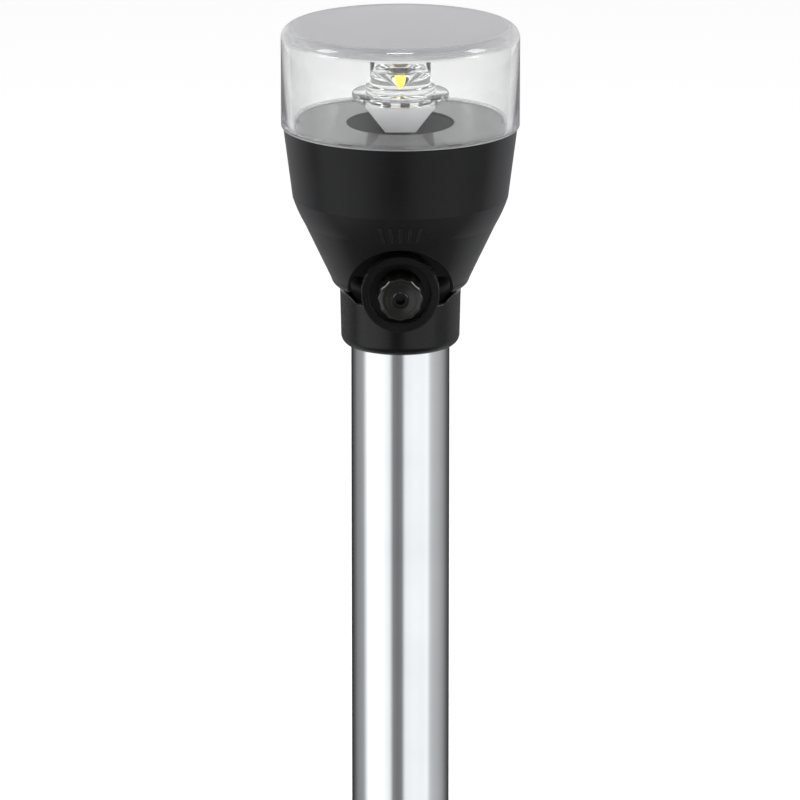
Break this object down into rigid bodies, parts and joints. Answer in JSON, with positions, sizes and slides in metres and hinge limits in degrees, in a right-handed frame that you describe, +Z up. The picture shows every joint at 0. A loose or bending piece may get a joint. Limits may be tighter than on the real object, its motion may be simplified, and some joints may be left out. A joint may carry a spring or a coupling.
{
  "type": "navigation light",
  "caption": "Plug-in all-round navigation light: clear lens over a black conical head that leans in a yoke on a polished aluminium pole with a two-pin plug and locking collar.",
  "frame": {"origin": "centre of the seat, the underside of the plug's flange, on the pole's axis", "axes": "+Z up the pole to the lens; -Y to the front, where the pivot knob is; +X to the right"},
  "size_m": [0.0612, 0.0612, 0.3756],
  "materials": {
    "black_plastic": "satin, fine moulded grain",
    "deck_gloss": "polished",
    "clear_plastic": "clear moulded polycarbonate",
    "aluminium_tube": "bright anodised",
    "aluminium_plain": "mill",
    "steel": "stainless",
    "bright_metal": "bright pressed",
    "brass": "turned",
    "rubber": "matte",
    "nylon_white": "natural nylon",
    "circuit_green": "solder mask",
    "component_dark": "moulded",
    "phosphor": "yellow phosphor",
    "wire_red": "insulation",
    "wire_black": "insulation"
  },
  "bodies": {
    "pole": {"plug_body": "black_plastic", "contact_pins": "brass", "plug_seal": "rubber", "pole_tube": "aluminium_tube", "tube_rivets": "aluminium_plain", "pole_yoke": "black_plastic", "friction_washers": "nylon_white", "rear_pivot_screw": "steel", "pole_wire_positive": "wire_red", "pole_wire_negative": "wire_black"},
    "light_head": {"head_housing": "black_plastic", "pivot_inserts": "brass", "wire_grommet": "rubber", "driver_board": "circuit_green", "driver_parts": "component_dark", "board_screws": "steel", "heat_spreader": "aluminium_plain", "spreader_screws": "steel", "lens_gasket": "rubber", "deck_plate": "deck_gloss", "optic_stand": "bright_metal", "led_board": "circuit_green", "led_chip": "phosphor", "light_optic": "clear_plastic", "lens_globe": "clear_plastic", "head_wire_positive": "wire_red", "head_wire_negative": "wire_black", "source_wire_positive": "wire_red", "source_wire_negative": "wire_black"},
    "pivot_knob": {"pivot_screw": "steel", "pivot_knob": "black_plastic", "knob_washer": "steel"},
    "collar_slip": {"thrust_washer": "nylon_white"},
    "locking_collar": {"locking_collar": "black_plastic"}
  },
  "joints": [
    {"name": "head_tilt", "type": "hinge", "parent": "pole", "child": "light_head", "pos_m": [0, 0, 0.2888], "axis": [0, 1, 0], "range_deg": [-15, 15]},
    {"name": "knob_turn", "type": "hinge", "parent": "pole", "child": "pivot_knob", "pos_m": [0, 0, 0.2888], "axis": [0, -1, 0], "range_deg": [0, 360]},
    {"name": "collar_slide", "type": "slide", "parent": "pole", "child": "collar_slip", "axis": [0, 0, 1], "range_m": [0, 0.03]},
    {"name": "collar_turn", "type": "hinge", "parent": "collar_slip", "child": "locking_collar", "pos_m": [0, 0, 0.004], "axis": [0, 0, 1], "continuous": true}
  ]
}
